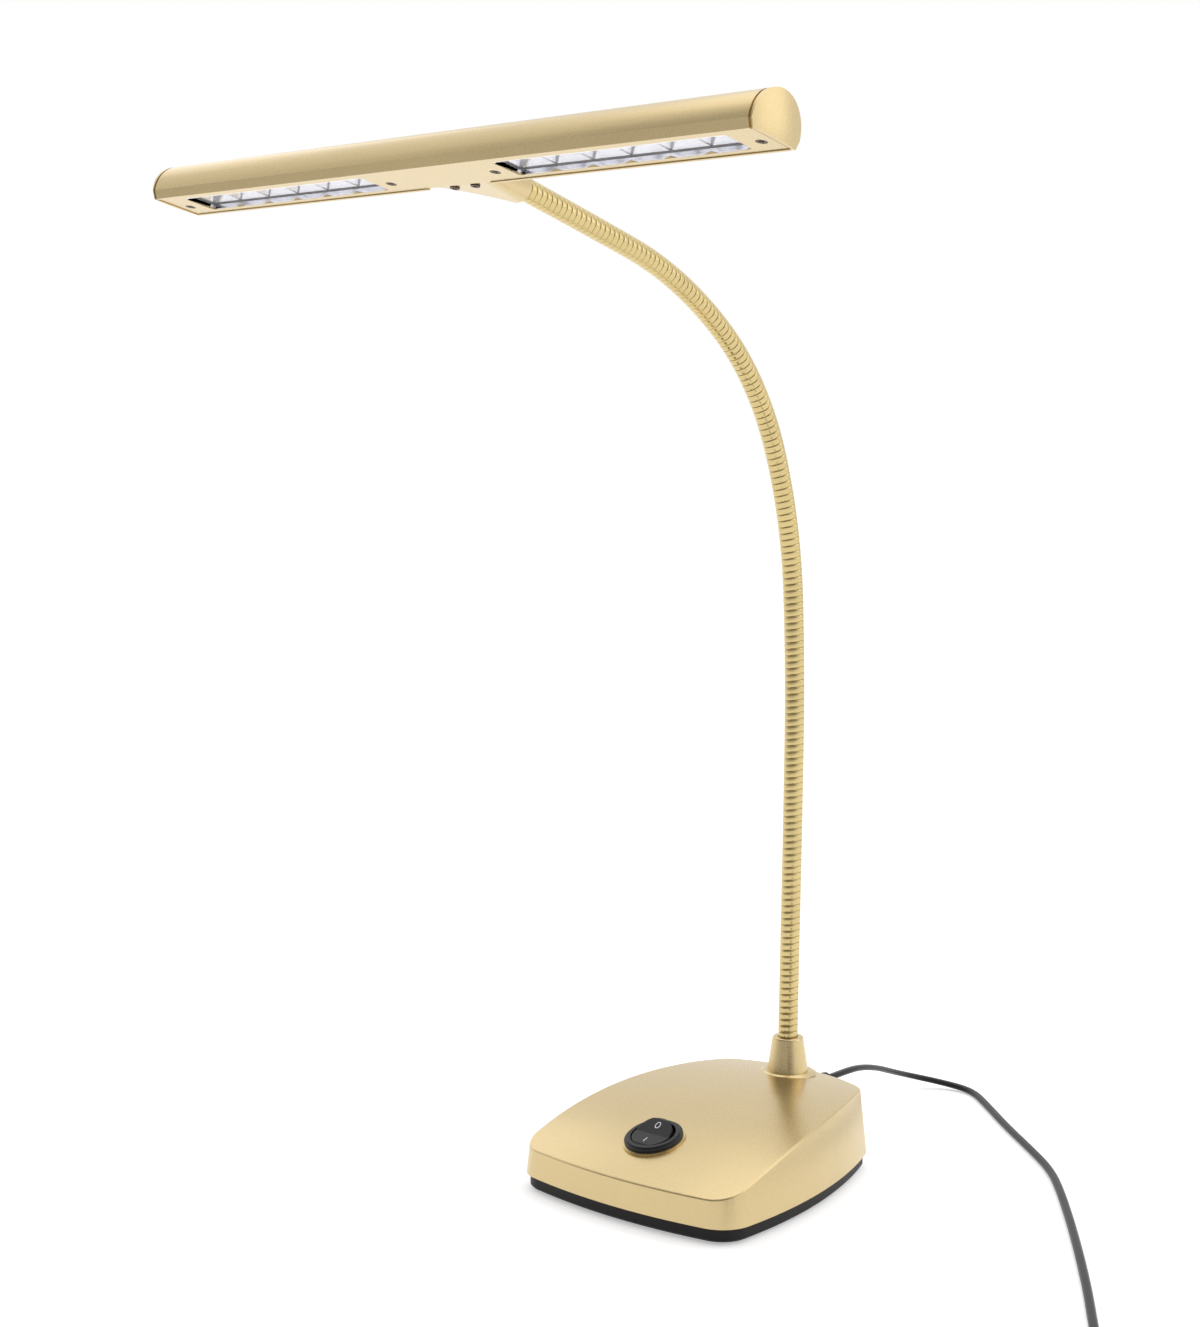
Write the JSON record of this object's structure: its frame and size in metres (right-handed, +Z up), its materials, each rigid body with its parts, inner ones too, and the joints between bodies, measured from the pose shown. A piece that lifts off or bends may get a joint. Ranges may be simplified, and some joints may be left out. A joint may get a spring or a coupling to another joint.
{
  "type": "piano lamp",
  "caption": "Slim light bar with recessed reflector windows on a ribbed gooseneck, over a tapered low base with a round rocker switch and a lead with a plug-in supply.",
  "frame": {"origin": "on the standing surface, under the middle of the base", "axes": "+X along the light bar to the right of a person facing the switch, -Y towards that person, +Y towards the neck and the lead, +Z up"},
  "size_m": [0.4138, 0.3813, 0.3931],
  "materials": {
    "gold_base": "satin champagne gold",
    "gold_head": "satin champagne gold",
    "gold_cap": "satin champagne gold",
    "gold_cover": "satin champagne gold",
    "gold_collar": "satin champagne gold",
    "neck_metal": "satin",
    "base_black": "satin black",
    "ballast_steel": "plain",
    "foot_rubber": "matt",
    "screw_steel": "dark zinc",
    "switch_black": "fine texture",
    "terminal_brass": "plain",
    "ferrule_steel": "threaded",
    "cable_grey": "plain",
    "lead_black": "plain",
    "cord_black": "soft gloss",
    "relief_black": "satin",
    "lens_clear": "clear",
    "reflector_silver": "vacuum plated",
    "board_white": "white mask",
    "led_yellow": "phosphor",
    "adapter_black": "fine texture",
    "pin_brass": "nickel plated"
  },
  "bodies": {
    "base": {"adapter_boot": "relief_black", "adapter_bottom": "adapter_black", "adapter_pins": "pin_brass", "adapter_top": "adapter_black", "base_cover": "gold_base", "base_plate": "base_black", "base_screws": "screw_steel", "base_weight": "ballast_steel", "cord": "cord_black", "cord_coil": "cord_black", "cord_tail": "cord_black", "neck_collar": "gold_collar", "neck_ferrule": "ferrule_steel", "neck_lead": "lead_black", "neck_nut": "ferrule_steel", "neck_washer": "ferrule_steel", "rubber_feet": "foot_rubber", "strain_relief": "relief_black", "supply_lead": "lead_black", "switch_housing": "switch_black", "switch_terminals": "terminal_brass", "neck_stretch_1": "neck_metal", "neck_cable_1": "cable_grey"},
    "rocker": {"switch_rocker": "switch_black"},
    "neck_2": {"neck_stretch_2": "neck_metal", "neck_cable_2": "cable_grey"},
    "neck_3": {"neck_stretch_3": "neck_metal", "neck_cable_3": "cable_grey"},
    "neck_4": {"neck_stretch_4": "neck_metal", "neck_cable_4": "cable_grey"},
    "neck_5": {"neck_stretch_5": "neck_metal", "neck_cable_5": "cable_grey"},
    "neck_6": {"neck_stretch_6": "neck_metal", "neck_cable_6": "cable_grey"},
    "head": {"head_housing": "gold_head", "head_cover": "gold_cover", "end_cap_left": "gold_cap", "end_cap_right": "gold_cap", "lens_left": "lens_clear", "lens_right": "lens_clear", "reflector_left": "reflector_silver", "reflector_right": "reflector_silver", "led_board_left": "board_white", "led_board_right": "board_white", "led_chips_left": "led_yellow", "led_chips_right": "led_yellow", "cover_screws": "screw_steel", "lug_screws": "screw_steel", "neck_stretch_7": "neck_metal", "neck_cable_7": "cable_grey"}
  },
  "joints": [
    {"name": "neck_nod_1", "type": "hinge", "parent": "base", "child": "neck_2", "pos_m": [0, 0.04987, 0.1086], "axis": [1, 0, 0], "range_deg": [-10, 10]},
    {"name": "neck_sway_1", "type": "hinge", "parent": "neck_2", "child": "neck_3", "pos_m": [0, 0.05102, 0.16879], "axis": [0, -0.9999, 0.014], "range_deg": [-15, 15]},
    {"name": "neck_nod_2", "type": "hinge", "parent": "neck_3", "child": "neck_4", "pos_m": [0, 0.04966, 0.22896], "axis": [1, 0, 0], "range_deg": [-12, 12]},
    {"name": "neck_sway_2", "type": "hinge", "parent": "neck_4", "child": "neck_5", "pos_m": [0, 0.03683, 0.28753], "axis": [0, -0.9317, -0.3633], "range_deg": [-15, 15]},
    {"name": "neck_nod_3", "type": "hinge", "parent": "neck_5", "child": "neck_6", "pos_m": [0, 0.00105, 0.33501], "axis": [1, 0, 0], "range_deg": [-15, 15]},
    {"name": "neck_sway_3", "type": "hinge", "parent": "neck_6", "child": "head", "pos_m": [0, -0.05234, 0.3621], "axis": [0, -0.284, -0.9588], "range_deg": [-15, 15]},
    {"name": "switch_rock", "type": "hinge", "parent": "base", "child": "rocker", "pos_m": [0, -0.0375, 0.02555], "axis": [1, 0, 0], "range_deg": [-22, 0]}
  ]
}
